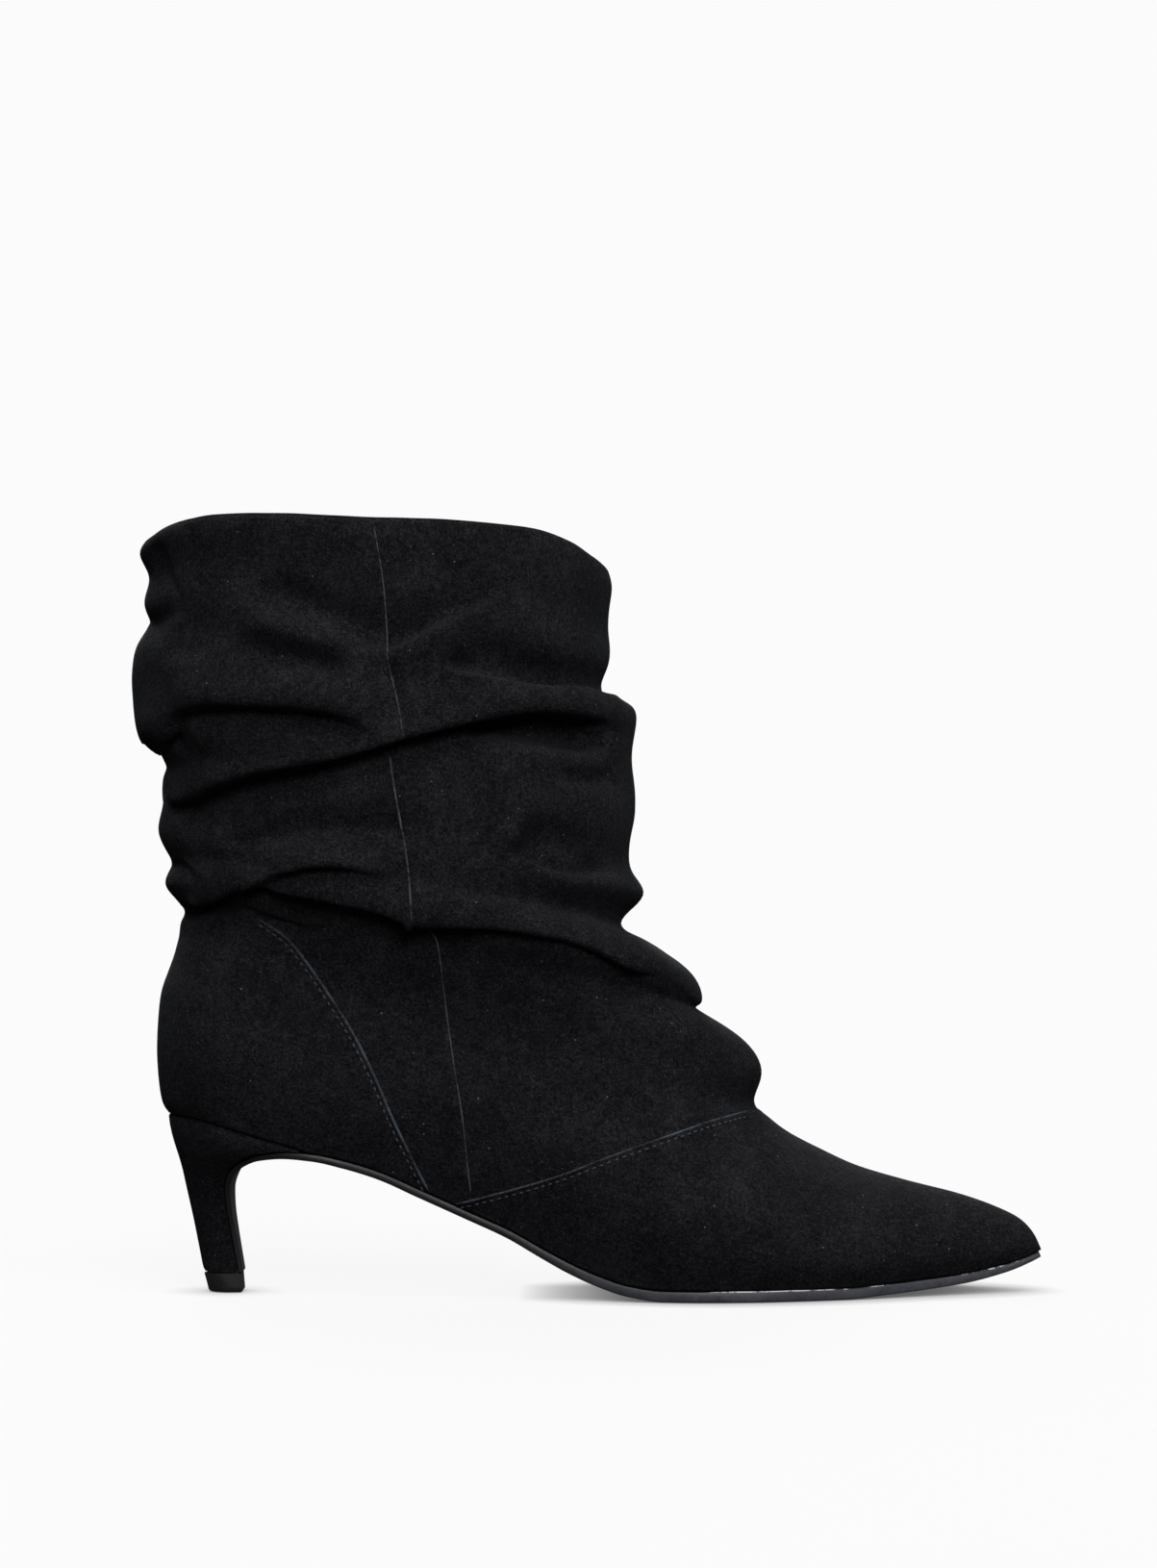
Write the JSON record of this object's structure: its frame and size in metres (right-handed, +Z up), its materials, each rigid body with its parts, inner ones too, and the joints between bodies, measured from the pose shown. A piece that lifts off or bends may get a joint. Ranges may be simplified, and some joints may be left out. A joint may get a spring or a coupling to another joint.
{
  "type": "slouch boot",
  "caption": "Slouch ankle boot for the right foot: pointed toe, kitten heel, soft gathered shaft with an open collar, hollow inside, standing on heel and forefoot.",
  "frame": {"origin": "centre of the boot's bounding box at floor level", "axes": "+X towards the toe, -Y towards the outer (lateral) side, +Z up"},
  "size_m": [0.2694, 0.0934, 0.2283],
  "materials": {
    "suede": "black suede, matt brushed nap, leather lined",
    "sole": "smooth black sole leather, satin edge",
    "heel_cover": "black suede wrapped over a hard heel",
    "top_piece": "hard black polyurethane, satin",
    "sock": "smooth black lining leather"
  },
  "bodies": {
    "root": {"upper": "suede", "outsole": "sole", "heel": "heel_cover", "heel_top_piece": "top_piece", "insole": "sock"}
  },
  "joints": []
}
